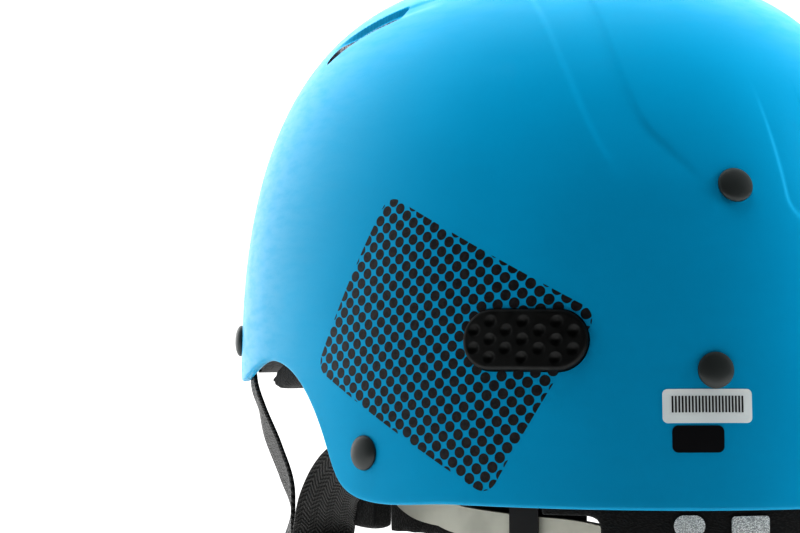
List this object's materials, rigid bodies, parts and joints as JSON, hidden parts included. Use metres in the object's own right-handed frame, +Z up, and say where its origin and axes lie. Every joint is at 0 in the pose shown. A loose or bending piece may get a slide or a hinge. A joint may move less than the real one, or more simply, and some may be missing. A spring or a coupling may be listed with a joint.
{
  "type": "white-water helmet",
  "caption": "Half-cut white-water helmet: domed shell on a foam liner with comfort pads, strap harness with side-release buckle, and a dial-adjusted nape cradle.",
  "frame": {"origin": "middle of the head opening, level with the rim at the nape", "axes": "+Z up through the crown, +Y to the nape, -Y to the brow, +X to the wearer's left"},
  "size_m": [0.2306, 0.2826, 0.3278],
  "materials": {
    "shell_blue": "satin moulded plastic",
    "rivet_dark": "satin",
    "plug_rubber": "matte moulded rubber",
    "label_pale": "printed film",
    "label_dark": "printed film",
    "liner_foam": "expanded bead foam",
    "pad_fabric": "brushed knit over foam",
    "tag_fabric": "woven tape",
    "webbing": "woven polyester",
    "cradle_grey": "satin moulded plastic",
    "black_plastic": "satin moulded plastic",
    "keeper_rubber": "matte",
    "steel": "zinc plated"
  },
  "bodies": {
    "helmet": {"outer_shell": "shell_blue", "impact_liner": "liner_foam", "crown_pad": "pad_fabric", "brow_pad": "pad_fabric", "nape_flap": "pad_fabric", "strap_rivets": "rivet_dark", "liner_rivets": "rivet_dark", "strap_washers": "steel", "liner_washers": "steel", "rear_label": "label_pale", "rear_patch": "label_dark", "size_tag": "tag_fabric", "round_tag": "tag_fabric", "side_pad_left": "pad_fabric", "side_pad_right": "pad_fabric", "rear_pad_left": "pad_fabric", "rear_pad_right": "pad_fabric", "lobe_pad_left": "pad_fabric", "lobe_pad_right": "pad_fabric", "ear_pad_left": "pad_fabric", "ear_pad_right": "pad_fabric", "side_plug_left": "plug_rubber", "side_plug_right": "plug_rubber", "front_strap_top_left": "webbing", "front_strap_top_right": "webbing", "rear_strap_top_left": "webbing", "rear_strap_top_right": "webbing", "cradle_stud_left": "black_plastic", "cradle_stud_right": "black_plastic"},
    "cradle": {"cradle_housing": "black_plastic", "housing_cover": "black_plastic", "housing_screws": "steel", "cradle_pad": "pad_fabric"},
    "dial": {"dial_knob": "black_plastic", "dial_pinion": "cradle_grey", "dial_screw": "steel"},
    "arm_left": {"left_arm": "cradle_grey", "height_tab_left": "black_plastic", "band_lining_left": "pad_fabric"},
    "arm_right": {"right_arm": "cradle_grey", "height_tab_right": "black_plastic", "band_lining_right": "pad_fabric"},
    "harness_left": {"front_strap_left": "webbing", "rear_strap_left": "webbing", "strap_divider_left": "black_plastic"},
    "harness_right": {"front_strap_right": "webbing", "rear_strap_right": "webbing", "strap_divider_right": "black_plastic"},
    "chin_left": {"chin_strap_left": "webbing", "buckle_plug": "black_plastic", "strap_keeper": "keeper_rubber"},
    "chin_right": {"chin_strap_right": "webbing", "buckle_socket": "black_plastic"}
  },
  "joints": [
    {"name": "cradle_tilt", "type": "hinge", "parent": "helmet", "child": "cradle", "pos_m": [0, 0.03, 0.012], "axis": [1, 0, 0], "range_deg": [-8, 6]},
    {"name": "dial_turn", "type": "hinge", "parent": "cradle", "child": "dial", "pos_m": [0, 0.1028, -0.024], "axis": [0, -1, 0], "range_deg": [0, 85]},
    {"name": "arm_left_slide", "type": "slide", "parent": "cradle", "child": "arm_left", "axis": [-1, 0, 0], "range_m": [0, 0.006]},
    {"name": "arm_right_slide", "type": "slide", "parent": "cradle", "child": "arm_right", "axis": [1, 0, 0], "range_m": [0, 0.006]},
    {"name": "harness_swing_left", "type": "hinge", "parent": "helmet", "child": "harness_left", "pos_m": [0.1012, -0.056, 0.0295], "axis": [0.1134, 0.9281, -0.3545], "range_deg": [-45, 10]},
    {"name": "chin_swing_left", "type": "hinge", "parent": "harness_left", "child": "chin_left", "pos_m": [0.1078, -0.002, -0.056], "axis": [0.1213, 0.9926, 0], "range_deg": [-15, 60]},
    {"name": "harness_swing_right", "type": "hinge", "parent": "helmet", "child": "harness_right", "pos_m": [-0.1012, -0.056, 0.0295], "axis": [0.1134, -0.9281, 0.3545], "range_deg": [-45, 10]},
    {"name": "chin_swing_right", "type": "hinge", "parent": "harness_right", "child": "chin_right", "pos_m": [-0.1078, -0.002, -0.056], "axis": [0.1213, -0.9926, 0], "range_deg": [-15, 60]}
  ],
  "couplings": [
    {"joint": "arm_left_slide", "follows": "dial_turn", "m_per_rad": 0.004},
    {"joint": "arm_right_slide", "follows": "dial_turn", "m_per_rad": 0.004}
  ]
}
